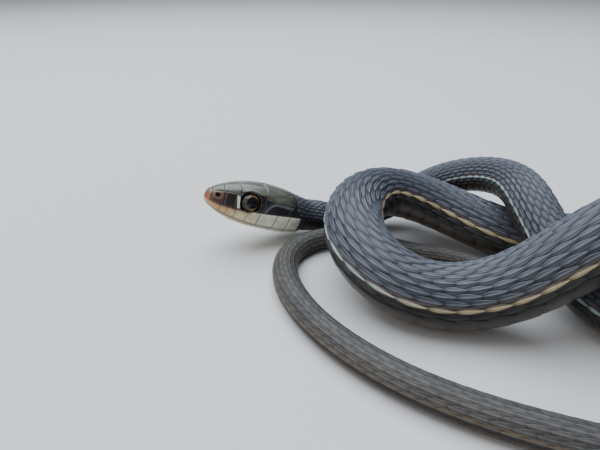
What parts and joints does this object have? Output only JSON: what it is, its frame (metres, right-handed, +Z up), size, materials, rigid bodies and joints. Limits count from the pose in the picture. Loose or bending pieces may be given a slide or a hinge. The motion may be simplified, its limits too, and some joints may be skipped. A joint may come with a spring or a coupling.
{
  "type": "ribbon garter snake",
  "caption": "Slender garter snake lying in a loose overlapping coil with its head raised, a still life-size model.",
  "frame": {"origin": "middle of the bounding box on the ground under the coil", "axes": "+Z up; the head points along -X, the coil lies along X and the free loop of the tail is towards -Y"},
  "size_m": [0.1392, 0.0788, 0.0259],
  "materials": {
    "body_scales": "satin keeled scales, slate grey-blue back, dark brown sides, pale stripe",
    "tail_scales": "satin keeled scales, grey-brown with a tan side stripe",
    "head_shields": "glossy smooth shields, olive-grey above with cream lips",
    "eye": "wet glossy dark eye with a thin gold ring round the pupil"
  },
  "bodies": {
    "root": {"head": "head_shields", "eye_left": "eye", "eye_right": "eye", "neck": "body_scales", "forebody_arch": "body_scales", "forebody_over": "body_scales", "forebody_under": "body_scales", "forebody_turn_1": "body_scales", "forebody_turn_2": "body_scales", "midbody_back": "body_scales", "midbody_rise": "body_scales", "midbody_loop_1": "body_scales", "midbody_loop_2": "body_scales", "midbody_front": "body_scales", "midbody_bridge_1": "body_scales", "midbody_bridge_2": "body_scales", "hindbody_down": "body_scales", "hindbody_turn_1": "body_scales", "hindbody_turn_2": "body_scales", "tail_root": "tail_scales", "tail_length_1": "tail_scales", "tail_length_2": "tail_scales", "tail_length_3": "tail_scales", "tail_bend_1": "tail_scales", "tail_bend_2": "tail_scales", "tail_under": "tail_scales", "tail_tip": "tail_scales"}
  },
  "joints": []
}
